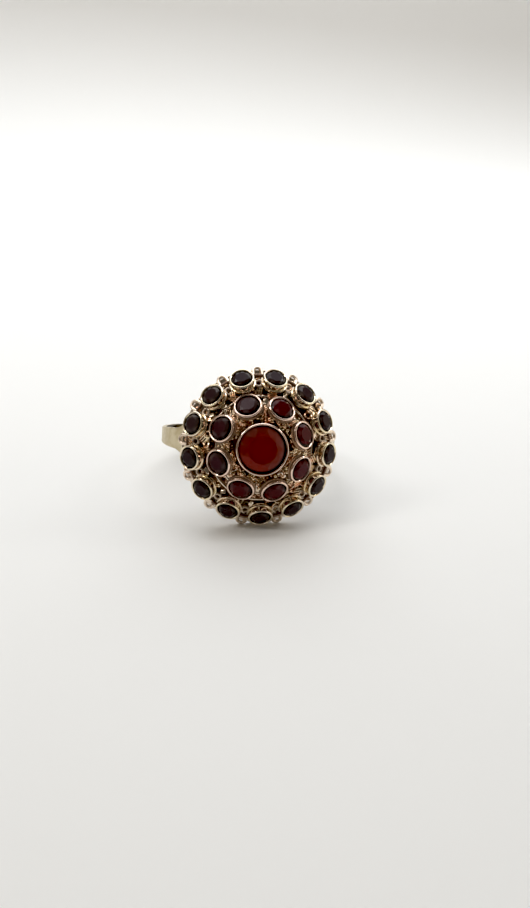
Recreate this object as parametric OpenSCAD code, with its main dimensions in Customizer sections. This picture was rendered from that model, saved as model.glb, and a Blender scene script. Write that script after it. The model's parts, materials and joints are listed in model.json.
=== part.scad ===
// Garnet cluster ring: a domed head of 22 round faceted garnets in turned collets, on a plain
// flat gold shank. All the gold is soldered into one solid. The ring lies on its side, as a ring
// does by itself: two wire arches of the head's rim and the back edge of the shank touch z = 0.
//
// The head has a frame of its own: z is the dome's axis, y points up the head, and z = 0 is the
// plane of the rim stones' mouths. The last module lays that frame down in the pose of rest.

/* [Shank] */
// Inside diameter, for a finger about 57 mm round
bore_d = 18; // [17:0.5:19]
// Thickness of the band
band_t = 1.25; // [1.1:0.05:1.5]
// Width of the band at its back and sides
band_w = 1.8; // [1.7:0.1:2.2]
// Width of the shoulders where they meet the head
shoulder_w = 5.8; // [5:0.2:6.4]
// Turn of the finger's axis against the head, as it was soldered
shank_turn = 4.5; // [0:0.5:6]

/* [Centre stone] */
// Diameter of garnet that shows inside the rim
centre_show = 5.1; // [4.8:0.1:5.3]
// Height of the rim over the plane of the rim stones
centre_h = 2.5; // [2.2:0.1:2.8]

/* [Middle row] */
// Diameter of garnet that shows inside each rim
mid_show = 2.54; // [2.3:0.02:2.6]
// Distance of the stones from the dome's axis
mid_r = 4.84; // [4.7:0.02:5]
// Height of the stones over the plane of the rim stones
mid_h = 1.5; // [1.3:0.1:1.7]
// Lean of the stones away from the dome's axis
mid_tilt = 41; // [36:1:44]
// Turn of the row against the rim row
mid_turn = 16.7; // [10:0.1:22]

/* [Rim row] */
// Diameter of garnet that shows inside each rim
rim_show = 2.22; // [2:0.02:2.3]
// Distance of the stones from the dome's axis
rim_r = 7.65; // [7.5:0.05:7.8]
// Lean of the stones away from the dome's axis
rim_tilt = 46; // [42:1:50]

/* [Wirework] */
// Thickness of the arch wire between two rim collets
arch_wire = 0.36; // [0.32:0.01:0.4]
// Radius of an arch, to the middle of its wire
arch_bend = 0.48; // [0.44:0.01:0.52]
// Thickness of the hoop and strip wire inside the head
fine_wire = 0.26; // [0.22:0.01:0.3]

/* [Hidden] */
$fn = 64;
over = 1;             // a cutting shape runs past what it cuts by this much
mid_count = 8;
rim_count = 13;

// Angles round the dome: one rim stone points straight down the head
down = -90;
mid_step = 360 / mid_count;
rim_step = 360 / rim_count;
function mid_angle(i) = down + mid_turn + (i - 1) * mid_step;
function rim_angle(i) = down + (i - 1) * rim_step;

// Collets, measured from the rim's mouth down the stone's own axis
rim_wall = 0.26;      // width of the bright rim beside the garnet
rim_rise = 0.09;      // height of the rim over the edge of the mouth
rim_round = 0.07;     // chamfer of the rim's outer edge
wall_taper = 0.06;    // how far the wall draws in above the collar
collar_out = 0.08;    // a collar stands this far outside the rim
collar_edge = 0.08;   // chamfer of the collar
waist_h = 0.4;        // the wall draws in to the foot over this height
// Outlines: depth, top and height of the collar, and how much narrower the foot is than the rim
DEPTH = 0;
COLLAR_TOP = 1;
COLLAR_H = 2;
FOOT_IN = 3;
centre_form = [1.7, 0.7, 0, 0.3];
mid_form = [1.6, 0.3, 0.24, 0.58];
rim_form = [1.6, 0.62, 0.36, 0.34];

// Stones: crown over the mouth, girdle under it, all in one rule for every size
seat_gap = 0.04;      // clearance between a stone and its collet
girdle_in = 0.08;     // the girdle is this much wider than the mouth, on each side
girdle_down = 0.16;   // depth of the girdle's upper edge under the mouth
girdle_t = 0.06;
table_part = 0.58;    // width of the table as a part of the girdle
star_part = 0.78;     // radius of the star facets' tips as a part of the girdle
lower_part = 0.62;    // radius of the lower halves' tips as a part of the girdle
pavilion_slope = 0.84; // depth of the pavilion for each millimetre of radius
hole_part = 0.52;     // radius of the light hole as a part of the girdle
centre_hole = 1.15;   // light hole of the large collet
centre_facets = 12;
small_facets = 8;
centre_crown = 0.5;   // height of the table over the mouth
mid_crown = 0.3;
rim_crown = 0.26;

// Domed plate that carries the collets
plate_r = 7.05;
plate_t = 0.6;
plate_top = 1.1;      // height of the plate's crown
plate_bend = 12;      // radius of its outer face
plate_low = -4;       // the plate's rim ends above this height
hollow_r = 5;         // the shank is open under the head as far out as this
// Rail round the plate's edge, under the arches
rail_r = 8.3;
rail_in = 6.8;
rail_top = -1.15;     // height of its inner edge
rail_drop = 0.3;      // the outer edge lies lower by this much
rail_t = 0.3;

// Shank
bore_r = bore_d / 2;
band_r = bore_r + band_t;
finger_gap = 2;           // from the finger hole up to the plane of the rim stones' mouths
hoop_z = -(bore_r + finger_gap);
shoulder_angle = 55;      // the shoulders leave the band's curve at this angle from the head
flare_start = 4.6;        // height over the hoop's centre where the sides start to flare
flare_r = 2.6;            // radius of the flare's curve
flare_turn = 70;
flare_steps = 7;
band_grow = 0.25;         // the band's half width grows by this much up to the flare

// Arches between the rim collets
arch_tilt = 40;
arch_reach = 8.68;    // outermost point of an arch, from the dome's axis
arch_low = -1.6;      // height of that point
arch_leg = 0.55;      // straight length of each leg, in to the hoop
arch_out = arch_bend + arch_wire / 2;
arch_r = arch_reach - arch_out * cos(arch_tilt);
arch_z = arch_low + arch_out * sin(arch_tilt);

// Hoop wires: radius, height and thickness of each. Two run through the middle row's collets,
// the third through the rim collets and the ends of the arches.
HOOP_R = 0;
HOOP_Z = 1;
HOOP_D = 2;
hoops = [
    [4.75, 1.02, fine_wire],
    [5.55, 0.4, fine_wire],
    [arch_r - arch_leg * cos(arch_tilt), arch_z + arch_leg * sin(arch_tilt), arch_wire]
];
// Flat strips that lie on the first hoop, between two middle collets
strip_w = 0.5;
strip_from = [3.75, 1.6];
strip_to = [4.85, 0.98];
// Coils of wound wire that stand on the plate inside the arches
coil_r = 6.5;
coil_out = 0.46;
coil_in = 0.2;
coil_h = 0.8;
coil_edge = 0.07;
coil_sunk = 0.2;

garnet = "#5a0c14";
gold = "#d9b98a";

// A place on the dome: r out from the axis, h up it, leaning out by tilt, at an angle round it
module on_dome(r, h, tilt, angle) {
    rotate([0, 0, angle])
        translate([r, 0, h])
            rotate([0, tilt, 0])
                children();
}

// Radius of a stone's girdle for the width that shows
function girdle(show) = show / 2 + girdle_in;

// Crown slope: rise for each millimetre in from the girdle to the table
function crown_slope(show, crown) =
    (crown + girdle_down) / (girdle(show) * (1 - table_part));

// Outside of a collet, a solid turned shape
module collet_blank(show, form) {
    r = show / 2 + rim_wall;
    wall_r = r - wall_taper;
    foot_r = r - form[FOOT_IN];
    collar_r = r + collar_out;
    collar_low = form[COLLAR_TOP] + form[COLLAR_H];
    collar = form[COLLAR_H] == 0 ? [] : [
        [collar_r, -form[COLLAR_TOP] - collar_edge],
        [collar_r, -collar_low + collar_edge],
        [wall_r, -collar_low]
    ];
    rotate_extrude()
        polygon(concat(
            [[0, rim_rise], [r - rim_round, rim_rise], [r, rim_rise - rim_round]],
            [[wall_r, -form[COLLAR_TOP]]],
            collar,
            [[foot_r, -collar_low - waist_h], [foot_r, -form[DEPTH]], [0, -form[DEPTH]]]
        ));
}

// Room for the stone and the light hole under it
module collet_room(show, crown, hole_r, depth) {
    mouth_r = show / 2;
    room_r = girdle(show) + seat_gap;
    lip = -girdle_down + seat_gap + girdle_in * crown_slope(show, crown);
    seat_top = -girdle_down - girdle_t - seat_gap;
    rotate_extrude()
        polygon([
            [0, over],
            [mouth_r, over],
            [mouth_r, lip],
            [room_r, -girdle_down + seat_gap],
            [room_r, seat_top],
            [hole_r, seat_top - (room_r - hole_r) * pavilion_slope],
            [hole_r, -depth - over],
            [0, -depth - over]
        ]);
}

// Ring of n points of radius r at height z, turned by part of a step
function ring(n, r, z, part) =
    [for (i = [0:n - 1]) [r * cos((i + part) * 360 / n), r * sin((i + part) * 360 / n), z]];

// Brilliant-cut stone with its girdle's top edge at z = 0: table, n stars, n kites, 2n upper
// halves, the girdle, 2n lower halves and n pavilion mains, which meet in a point
module brilliant(g, crown_h, n) {
    table_r = g * table_part;
    star_r = g * star_part;
    lower_r = g * lower_part;
    half = cos(180 / n);
    star_z = crown_h * (g - star_r * half) / (g - table_r);
    deep = g * pavilion_slope;
    lower_z = -girdle_t - deep * (g - lower_r * half) / g;
    points = concat(
        ring(n, table_r, crown_h, 0),
        ring(n, star_r, star_z, 0.5),
        ring(2 * n, g, 0, 0),
        ring(2 * n, g, -girdle_t, 0),
        ring(n, lower_r, lower_z, 0.5),
        [[0, 0, -girdle_t - deep]]
    );
    star = n;
    upper = 2 * n;
    under = 4 * n;
    lower = 6 * n;
    culet = 7 * n;
    faces = concat(
        [[for (i = [0:n - 1]) n - 1 - i]],
        [for (i = [0:n - 1]) [i, (i + 1) % n, star + i]],
        [for (i = [0:n - 1]) [i, star + i, upper + 2 * i, star + (i + n - 1) % n]],
        [for (i = [0:n - 1]) [star + i, upper + 2 * i + 1, upper + 2 * i]],
        [for (i = [0:n - 1]) [star + i, upper + (2 * i + 2) % (2 * n), upper + 2 * i + 1]],
        [for (j = [0:2 * n - 1]) [upper + j, upper + (j + 1) % (2 * n),
                                  under + (j + 1) % (2 * n), under + j]],
        [for (i = [0:n - 1]) [lower + i, under + 2 * i, under + 2 * i + 1]],
        [for (i = [0:n - 1]) [lower + i, under + 2 * i + 1, under + (2 * i + 2) % (2 * n)]],
        [for (i = [0:n - 1]) [culet, lower + (i + n - 1) % n, under + 2 * i, lower + i]]
    );
    polyhedron(points, faces);
}

// A stone in its collet: z = 0 is the collet's mouth
module garnet_in_collet(show, crown, n) {
    color(garnet)
        translate([0, 0, -girdle_down])
            brilliant(girdle(show), crown + girdle_down, n);
}

// Domed plate under the collets
module dome_plate() {
    difference() {
        intersection() {
            translate([0, 0, plate_top - plate_bend]) sphere(r = plate_bend);
            translate([0, 0, plate_low]) cylinder(r = plate_r, h = plate_top - plate_low + over);
        }
        translate([0, 0, plate_top - plate_bend]) sphere(r = plate_bend - plate_t);
    }
}

// Rail round the plate's edge
module rail() {
    low = rail_top - rail_drop;
    rotate_extrude()
        polygon([
            [rail_in, rail_top], [rail_r, low], [rail_r, low - rail_t], [rail_in, rail_top - rail_t]
        ]);
}

// Horseshoe of wire between two rim collets, its round end outwards
module arch() {
    rotate([0, 0, -90]) rotate_extrude(angle = 180) translate([arch_bend, 0]) circle(d = arch_wire);
    for (side = [-1, 1])
        translate([0, side * arch_bend, 0])
            rotate([0, -90, 0])
                cylinder(d = arch_wire, h = arch_leg);
}

// Coil of wound wire, a short open tube with its foot in the plate's outer face
module coil() {
    rotate_extrude()
        polygon([
            [coil_in, -coil_sunk],
            [coil_out, -coil_sunk],
            [coil_out, coil_h - coil_edge],
            [coil_out - coil_edge, coil_h],
            [coil_in + coil_edge, coil_h],
            [coil_in, coil_h - coil_edge]
        ]);
}

// Flat strip that leans from strip_from down to strip_to
module strip() {
    run = strip_to - strip_from;
    translate([strip_from[0], 0, strip_from[1]])
        rotate([0, -atan2(run[1], run[0]), 0])
            translate([0, -strip_w / 2, -fine_wire])
                cube([norm(run), strip_w, fine_wire]);
}

// Outline of half the band's width, from its back at the bottom to the shoulders at the top
function side_outline() =
    let (slim = band_w / 2, wide = shoulder_w / 2, neck = slim + band_grow, reach = band_r + 3 * over)
    concat(
        [[0, -reach], [slim, -reach], [slim, 0]],
        [for (t = [0:flare_turn / flare_steps:flare_turn])
            [min(wide, neck + flare_r * (1 - cos(t))), flare_start + flare_r * sin(t)]],
        [[wide, flare_start + flare_r], [wide, reach], [0, reach]]
    );

// Shank round its own centre: y is the finger's axis and z points to the head
module shank() {
    edge = [band_r * sin(shoulder_angle), band_r * cos(shoulder_angle)];
    top = -hoop_z + plate_top;
    rise = top - edge[1];
    inset = edge[0] - rise / tan(shoulder_angle);
    slab = 3 * shoulder_w;
    intersection() {
        union() {
            rotate([90, 0, 0]) cylinder(r = band_r, h = slab, center = true);
            intersection() {
                rotate([90, 0, 0])
                    linear_extrude(height = slab, center = true)
                        polygon([[-edge[0], edge[1]], [edge[0], edge[1]], [inset, top], [-inset, top]]);
                translate([0, 0, plate_top - plate_bend - hoop_z]) sphere(r = plate_bend - plate_t / 2);
            }
        }
        rotate([90, 0, 90])
            linear_extrude(height = 3 * band_r, center = true)
                union() {
                    polygon(side_outline());
                    mirror([1, 0]) polygon(side_outline());
                }
    }
}

// Hollow under the plate: the head is open to the finger between the shoulders
module under_head() {
    intersection() {
        translate([0, 0, hoop_z]) cylinder(r = hollow_r, h = plate_top - hoop_z);
        translate([0, 0, plate_top - plate_bend]) sphere(r = plate_bend - plate_t);
    }
}

// Finger hole, cut through everything
module finger_hole() {
    translate([0, 0, hoop_z])
        rotate([90, 0, -shank_turn])
            cylinder(r = bore_r, h = 4 * bore_r, center = true);
}

module collets() {
    translate([0, 0, centre_h]) collet_blank(centre_show, centre_form);
    for (i = [1:mid_count])
        on_dome(mid_r, mid_h, mid_tilt, mid_angle(i)) collet_blank(mid_show, mid_form);
    for (i = [1:rim_count])
        on_dome(rim_r, 0, rim_tilt, rim_angle(i)) collet_blank(rim_show, rim_form);
}

module collet_rooms() {
    translate([0, 0, centre_h])
        collet_room(centre_show, centre_crown, centre_hole, centre_form[DEPTH]);
    for (i = [1:mid_count])
        on_dome(mid_r, mid_h, mid_tilt, mid_angle(i))
            collet_room(mid_show, mid_crown, girdle(mid_show) * hole_part, mid_form[DEPTH]);
    for (i = [1:rim_count])
        on_dome(rim_r, 0, rim_tilt, rim_angle(i))
            collet_room(rim_show, rim_crown, girdle(rim_show) * hole_part, rim_form[DEPTH]);
}

module wirework() {
    for (i = [1:rim_count]) {
        on_dome(arch_r, arch_z, arch_tilt, rim_angle(i + 0.5)) arch();
        translate([0, 0, plate_top - plate_bend])
            rotate([0, 0, rim_angle(i + 0.5)])
                rotate([0, asin(coil_r / plate_bend), 0])
                    translate([0, 0, plate_bend]) coil();
    }
    for (h = hoops)
        translate([0, 0, h[HOOP_Z]])
            rotate_extrude() translate([h[HOOP_R], 0]) circle(d = h[HOOP_D]);
    for (i = [1:mid_count])
        rotate([0, 0, mid_angle(i + 0.5)]) strip();
}

// How far a tilted circle of radius r round c reaches in the direction d, n being its axis
function circle_reach(c, n, r, d) = c * d + r * sqrt(max(0, 1 - pow(n * d, 2)));

// Directions in the head's frame when the dome's axis is lifted by t: to the floor, to the back
function floorward(t) = [0, -cos(t), -sin(t)];
function backward(t) = [0, sin(t), -cos(t)];
finger_axis = [sin(shank_turn), cos(shank_turn), 0];
arch_axis = [
    sin(arch_tilt) * cos(rim_angle(1.5)), sin(arch_tilt) * sin(rim_angle(1.5)), cos(arch_tilt)
];
arch_centre = [arch_r * cos(rim_angle(1.5)), arch_r * sin(rim_angle(1.5)), arch_z];
function arch_touch(t) =
    circle_reach(arch_centre, arch_axis, arch_bend, floorward(t)) + arch_wire / 2;
function band_touch(d) =
    circle_reach([0, 0, hoop_z], finger_axis, band_r, d) + band_w / 2 * abs(finger_axis * d);

// Lift of the dome's axis at which the arches and the band's back edge touch the floor together
function rest_lift(low, high, rounds) =
    let (t = (low + high) / 2)
    rounds == 0 ? t
    : arch_touch(t) > band_touch(floorward(t)) ? rest_lift(t, high, rounds - 1)
    : rest_lift(low, t, rounds - 1);
lift_low = 5;
lift_high = 40;
lift_rounds = 30;
lift = rest_lift(lift_low, lift_high, lift_rounds);

// Reach of the middle row's rims to the front, and of the band to the back
front_reach = max([
    for (i = [1:mid_count])
        let (a = mid_angle(i))
        circle_reach(
            [mid_r * cos(a), mid_r * sin(a), mid_h],
            [sin(mid_tilt) * cos(a), sin(mid_tilt) * sin(a), cos(mid_tilt)],
            mid_show / 2 + rim_wall, -backward(lift))
]) + rim_rise;
back_reach = band_touch(backward(lift));

// Lays the head's frame down: dome to the front, lifted, lowest points on z = 0, centred
module at_rest() {
    translate([0, (front_reach - back_reach) / 2, arch_touch(lift)])
        rotate([90 - lift, 0, 0])
            children();
}

// All the gold, one soldered solid
module gold_mount() {
    color(gold)
        at_rest()
            difference() {
                union() {
                    dome_plate();
                    rail();
                    collets();
                    wirework();
                    translate([0, 0, hoop_z]) rotate([0, 0, -shank_turn]) shank();
                }
                collet_rooms();
                under_head();
                finger_hole();
            }
}

module stone_centre() {
    at_rest() translate([0, 0, centre_h]) garnet_in_collet(centre_show, centre_crown, centre_facets);
}

module stone_mid(i) {
    at_rest()
        on_dome(mid_r, mid_h, mid_tilt, mid_angle(i))
            garnet_in_collet(mid_show, mid_crown, small_facets);
}

module stone_rim(i) {
    at_rest()
        on_dome(rim_r, 0, rim_tilt, rim_angle(i))
            garnet_in_collet(rim_show, rim_crown, small_facets);
}

gold_mount();
stone_centre();
for (i = [1:mid_count])
    stone_mid(i);
for (i = [1:rim_count])
    stone_rim(i);
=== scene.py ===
# %% [markdown]
# # A garnet cluster ring
# This lesson dresses a finished construction model of a gold ring in Blender. The ring has a domed
# head of 22 round garnets in turned collets, and it lies on its side on a white table, with the
# dome towards the camera. The construction gives every size and place. We add smooth gold, cut
# stones that look like garnet, the small wirework between the collets, light and a camera.

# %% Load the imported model
import json
import math
import random
import bmesh
import bpy
from mathutils import Matrix, Vector


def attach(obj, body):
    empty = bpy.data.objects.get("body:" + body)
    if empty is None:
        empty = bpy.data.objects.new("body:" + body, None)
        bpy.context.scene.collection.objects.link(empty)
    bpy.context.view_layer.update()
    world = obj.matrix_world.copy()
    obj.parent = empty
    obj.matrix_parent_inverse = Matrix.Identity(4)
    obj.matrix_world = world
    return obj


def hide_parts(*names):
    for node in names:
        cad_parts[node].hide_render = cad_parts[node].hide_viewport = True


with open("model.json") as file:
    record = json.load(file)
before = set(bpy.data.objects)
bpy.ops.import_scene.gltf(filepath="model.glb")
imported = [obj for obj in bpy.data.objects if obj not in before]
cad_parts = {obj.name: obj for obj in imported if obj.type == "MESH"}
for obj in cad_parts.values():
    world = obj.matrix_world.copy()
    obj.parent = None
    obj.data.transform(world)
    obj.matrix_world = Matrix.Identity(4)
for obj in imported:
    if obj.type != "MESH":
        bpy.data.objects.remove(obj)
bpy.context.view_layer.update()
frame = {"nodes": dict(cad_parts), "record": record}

# %% [markdown]
# ## The head's own frame
# A goldsmith builds the head flat on the bench and solders it to the shank afterwards. We do the
# same: every piece is modelled in the head's frame, where z is the dome's axis, y points up the
# head and z = 0 is the plane of the outer stones' mouths. The finger hole in the record says how
# the finished ring lies, so one matrix lays every piece down.

# %% The matrix that lays the head down
MM = 0.001
FULL = 2 * math.pi
BORE_R = 9 * MM
FINGER_GAP = 2 * MM
HOOP = Vector((0, 0, -(BORE_R + FINGER_GAP)))

hole = frame["record"]["mounts"][0]
finger = Vector(hole["axis"])
lift = math.atan2(finger.y, finger.z)
shank_turn = math.asin(finger.x)
HEAD = (Matrix.Translation(hole["pos_m"]) @ Matrix.Rotation(math.pi / 2 - lift, 4, "X")
        @ Matrix.Translation(-HOOP))
print("lift of the dome's axis:", round(math.degrees(lift), 2), "degrees")

# %% [markdown]
# ## Places on the dome
# The rows follow a rule: eight stones in the middle row, thirteen in the outer one, each leaning
# away from the axis. One function gives the matrix of such a place, so a collet, an arch or a bead
# is made once at the origin and then put down many times.

# %% Rows and places
MID_COUNT = 8
RIM_COUNT = 13
MID_TURN = math.radians(16.7)


def mid_angle(i):
    """Direction of stone i of the middle row, counted from 1; a half lies between two stones."""
    return -math.pi / 2 + MID_TURN + (i - 1) * FULL / MID_COUNT


def rim_angle(i):
    """Direction of stone i of the outer row, counted from 1."""
    return -math.pi / 2 + (i - 1) * FULL / RIM_COUNT


def on_dome(r, h, tilt, angle):
    """A place r out from the axis and h up it, leaning out by tilt degrees."""
    return (Matrix.Rotation(angle, 4, "Z") @ Matrix.Translation((r, 0, h))
            @ Matrix.Rotation(math.radians(tilt), 4, "Y"))


PLATE_BEND = 12 * MM
PLATE_TOP = 1.1 * MM
PLATE_CENTRE = Vector((0, 0, PLATE_TOP - PLATE_BEND))


def on_plate(r, angle, up=0.0, spin=0.0):
    """A place that stands on the dome's plate, r out from the axis and up over the plate."""
    return (Matrix.Translation(PLATE_CENTRE) @ Matrix.Rotation(angle, 4, "Z")
            @ Matrix.Rotation(math.asin(r / PLATE_BEND), 4, "Y")
            @ Matrix.Translation((0, 0, PLATE_BEND + up)) @ Matrix.Rotation(spin, 4, "Z"))


# %% [markdown]
# ## Colour and node helpers
# Photographs give colours as sRGB, and shaders want linear light, so one function turns a hex
# value round. A second one adds a node with its settings and links, and every material uses it.
# Stains and the zones of a cut stone are tones laid one over another, each where some value
# passes from one level to another, so a third function lays such a layer.

# %% Helpers for materials


def linear(hex_value):
    """Linear RGBA of an sRGB hex colour."""
    channels = [int(hex_value[i:i + 2], 16) / 255 for i in (1, 3, 5)]
    return [c / 12.92 if c <= 0.04045 else ((c + 0.055) / 1.055) ** 2.4 for c in channels] + [1.0]


def add_node(tree, kind, links=None, inputs=None, **settings):
    """Adds a node, sets its properties and inputs, and links sockets of other nodes into it."""
    node = tree.nodes.new(kind)
    for name, value in settings.items():
        setattr(node, name, value)
    for name, value in (inputs or {}).items():
        node.inputs[name].default_value = value
    for name, socket in (links or {}).items():
        tree.links.new(socket, node.inputs[name])
    return node


def layer(tree, value, start, end, under, over):
    """Lays one tone over another: none of it where the value is at start, all of it at end. A
    tone is a hex value or the result of an earlier layer."""
    share = add_node(tree, "ShaderNodeMapRange", {"Value": value},
                     {"From Min": start, "From Max": end}, interpolation_type="SMOOTHSTEP")
    tones = {"A": under, "B": over}
    plain = {name: linear(tone) for name, tone in tones.items() if isinstance(tone, str)}
    made = {name: tone for name, tone in tones.items() if name not in plain}
    mix = add_node(tree, "ShaderNodeMix", {"Factor": share.outputs["Result"], **made}, plain,
                   data_type="RGBA")
    return mix.outputs["Result"]


def new_material(name):
    """An empty node material with its output node."""
    material = bpy.data.materials.new(name)
    material.use_nodes = True
    material.node_tree.nodes.clear()
    return material, material.node_tree, add_node(material.node_tree, "ShaderNodeOutputMaterial")


# %% [markdown]
# ## Gold
# The ring is 14 carat gold: paler and pinker than pure gold, because of its silver and copper. It
# was polished on a wheel where the wheel could reach, so rims and wires shine, and low down
# between the collets a brown tarnish stayed. How far a point lies from the centre of the dome's
# curve says how deep it sits, so that distance drives a brown layer, partly this tarnish and
# partly painted shade of the recesses between the parts. The polish shows as a faint
# unevenness in roughness and in a bump, with a grain of about a tenth of a millimetre. The
# tarnish is an oxide and no bare metal, so the deeper a point lies, the less metallic it is: it
# scatters light, and a recess that would look black as a mirror shows warm brown.

# %% Gold
DOME_CENTRE = HEAD @ PLATE_CENTRE
GOLD_BUMP = 0.006 * MM
GRAIN_SPAN = (0.3, 0.7)
SHINE_SPREAD = (0.75, 1.3)
SPOT_MM = 1.1
SPOT_ZONE = (0.35, 0.7)
TARNISH_AND_SHADE_METALLIC = 0.42
TARNISH_AND_SHADE_DULL = 0.08


def gold(name, colour, roughness, tarnish_and_shade=None, dirt_and_shade="#8c5a3c", grain_mm=0.15, stretch=(1, 1, 1),
         stain=None, edge=None):
    """14 carat gold. tarnish_and_shade is (height over the plate where the brown layer of tarnish
    and painted shade is full, height where it ends) in mm, dirt_and_shade is its tone, stain is
    the tone of wide faint spots, and edge is the tint at a glancing view. stretch packs the grain
    closer along an axis."""
    material, tree, out = new_material(name)
    place = add_node(tree, "ShaderNodeTexCoord").outputs["Object"]
    scaled = add_node(tree, "ShaderNodeMapping", {"Vector": place}, {"Scale": stretch})
    grain = add_node(tree, "ShaderNodeTexNoise", {"Vector": scaled.outputs["Vector"]},
                     {"Scale": 1 / (grain_mm * MM), "Detail": 3.0})
    shine = add_node(tree, "ShaderNodeMapRange", {"Value": grain.outputs["Fac"]},
                     {"From Min": GRAIN_SPAN[0], "From Max": GRAIN_SPAN[1],
                      "To Min": roughness * SHINE_SPREAD[0],
                      "To Max": roughness * SHINE_SPREAD[1]})
    relief = add_node(tree, "ShaderNodeBump", {"Height": grain.outputs["Fac"]},
                      {"Strength": 1.0, "Distance": GOLD_BUMP})
    surface = add_node(tree, "ShaderNodeBsdfPrincipled", {"Normal": relief.outputs["Normal"]},
                       {"Metallic": 1.0})
    if edge:
        surface.inputs["Specular Tint"].default_value = linear(edge)
    tree.links.new(surface.outputs["BSDF"], out.inputs["Surface"])
    spots = add_node(tree, "ShaderNodeTexNoise", {"Vector": place},
                     {"Scale": 1 / (SPOT_MM * MM), "Detail": 2.0})
    clean_gold = layer(tree, spots.outputs["Fac"], *SPOT_ZONE, colour, stain or colour)
    if tarnish_and_shade is None:
        tree.links.new(clean_gold, surface.inputs["Base Color"])
        tree.links.new(shine.outputs["Result"], surface.inputs["Roughness"])
        return material
    # the brown layer is partly tarnish and partly painted shade, growing deeper between the parts
    reach = add_node(tree, "ShaderNodeVectorMath", {0: place}, {1: DOME_CENTRE},
                     operation="DISTANCE")
    low, high = [PLATE_BEND + h * MM for h in tarnish_and_shade]
    depth = add_node(tree, "ShaderNodeMapRange", {"Value": reach.outputs["Value"]},
                     {"From Min": low, "From Max": high, "To Min": 1.0, "To Max": 0.0},
                     interpolation_type="SMOOTHSTEP")
    tone = add_node(tree, "ShaderNodeMix", {"Factor": depth.outputs["Result"], "A": clean_gold},
                    {"B": linear(dirt_and_shade)}, data_type="RGBA")
    bare = add_node(tree, "ShaderNodeMapRange", {"Value": depth.outputs["Result"]},
                    {"To Min": 1.0, "To Max": TARNISH_AND_SHADE_METALLIC})
    dull = add_node(tree, "ShaderNodeMath",
                    {0: depth.outputs["Result"], 2: shine.outputs["Result"]},
                    {1: TARNISH_AND_SHADE_DULL}, operation="MULTIPLY_ADD")
    tree.links.new(tone.outputs["Result"], surface.inputs["Base Color"])
    tree.links.new(bare.outputs["Result"], surface.inputs["Metallic"])
    tree.links.new(dull.outputs["Value"], surface.inputs["Roughness"])
    return material


# %% Gold finishes
CHAMPAGNE = "#f0dfcb"
# the pinker tone of the inner collets and the plate is painted reflection of the garnets' red light
ROSE_OF_GARNET_LIGHT = "#f4d9c8"
# rubbed over the stones and polished last: a sharp mirror, pinked by painted reflection of the
# garnets
painted_reflection_rose_gold = gold("polished_gold_painted_garnet_reflection", ROSE_OF_GARNET_LIGHT, 0.07, tarnish_and_shade=(0.2, 1.5))
# walls of the middle collets, out of the wheel's reach: a darker brown of tarnish and painted
# shade, with a dim mirror
tarnished_and_shaded_wall_gold = gold("collet_wall_tarnish_and_painted_shade", "#dcbc9e", 0.12, tarnish_and_shade=(0.6, 2.4), dirt_and_shade="#40221a")
# outer collets, polished all round: a sharp mirror with yellower clouds
champagne_gold = gold("polished_champagne_14_carat_gold", CHAMPAGNE, 0.07, tarnish_and_shade=(0.05, 0.95),
                      stain="#efe0bc")
# drawn wire and rolled sheet: bright on top, brown low down, partly where soldered and partly
# painted shade
wire_gold = gold("drawn_gold_wire", CHAMPAGNE, 0.12, tarnish_and_shade=(-0.1, 0.5), dirt_and_shade="#8c6846")
# grains and small wires, run over with solder: yellow with copper spots
fill_gold = gold("soldered_gold_filling", "#f2dfbc", 0.12, tarnish_and_shade=(0.0, 0.9), dirt_and_shade="#783a20",
                 stain="#ecb898")
# the hammered plate under them: blurred, and brown in its depths, partly tarnish and partly painted
# shade
plate_gold = gold("gold_plate_tarnish_and_painted_shade", ROSE_OF_GARNET_LIGHT, 0.25, tarnish_and_shade=(0.05, 0.5), dirt_and_shade="#845a3c")
# the outer hoop lies low between the collets: brown for the most part, which is painted shade
shaded_hoop_gold = gold("gold_wire_painted_shade", CHAMPAGNE, 0.2, tarnish_and_shade=(0.75, 1.3), dirt_and_shade="#6a4630")
# the arches are worn by handling: satin, so they look evenly pale
arch_gold = gold("satin_gold_arch", CHAMPAGNE, 0.33, tarnish_and_shade=(-0.4, 0.3))
# the coils stand inside the arch holes: dull, and brown low down, which is painted shade
shaded_coil_gold = gold("gold_coil_painted_shade", CHAMPAGNE, 0.28, tarnish_and_shade=(0.3, 1.2), dirt_and_shade="#80583c")
# the band, brushed along its run: a broad soft sheen over faint stains, on a greyer tone that
# paints its shade
shaded_satin_gold = gold("satin_gold_band_painted_shade", "#bcad8b", 0.36, grain_mm=0.08, stretch=(1, 1, 4),
                  stain="#cfc3a6")
# the inside and the underside: a grey, darker gold that paints their shade, darker still at a
# glancing view
inside_shade_gold = gold("gold_inside_painted_shade", "#7c6e56", 0.3, grain_mm=0.12, edge="#3e362c")
print("gold materials:", len(bpy.data.materials))

# %% [markdown]
# ## Garnet
# Red garnet is a clear stone of high refraction, about 1.77, and its red is so deep that a few
# millimetres swallow most of the light. So the table looks crimson, the crown round it shows
# browner light from the sides, and the edge over the dark seat is nearly black. A clear stone
# with an absorbing volume does this in bright light, but turns to glass with hard streaks in a
# small one. We mix both ways: up to a tenth of the light goes through the stone, and the rest
# comes back from a body colour with painted light and shade in these zones: the table, the crown
# and a dark edge of painted shade. The crown facets that face down get a painted red glow, for
# the light that passes the stone towards them, and those that face right a greyer painted
# reflection. Light that the back facets return is painted as soft patches, about a millimetre
# wide, and in the small stones the dark edge is wider. A thin polished coat mirrors the room,
# and fine wear dulls it in places.

# %% Where a point lies on a stone
EDGE_SHIFT = Vector((0.035, 0, -0.035))


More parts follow.
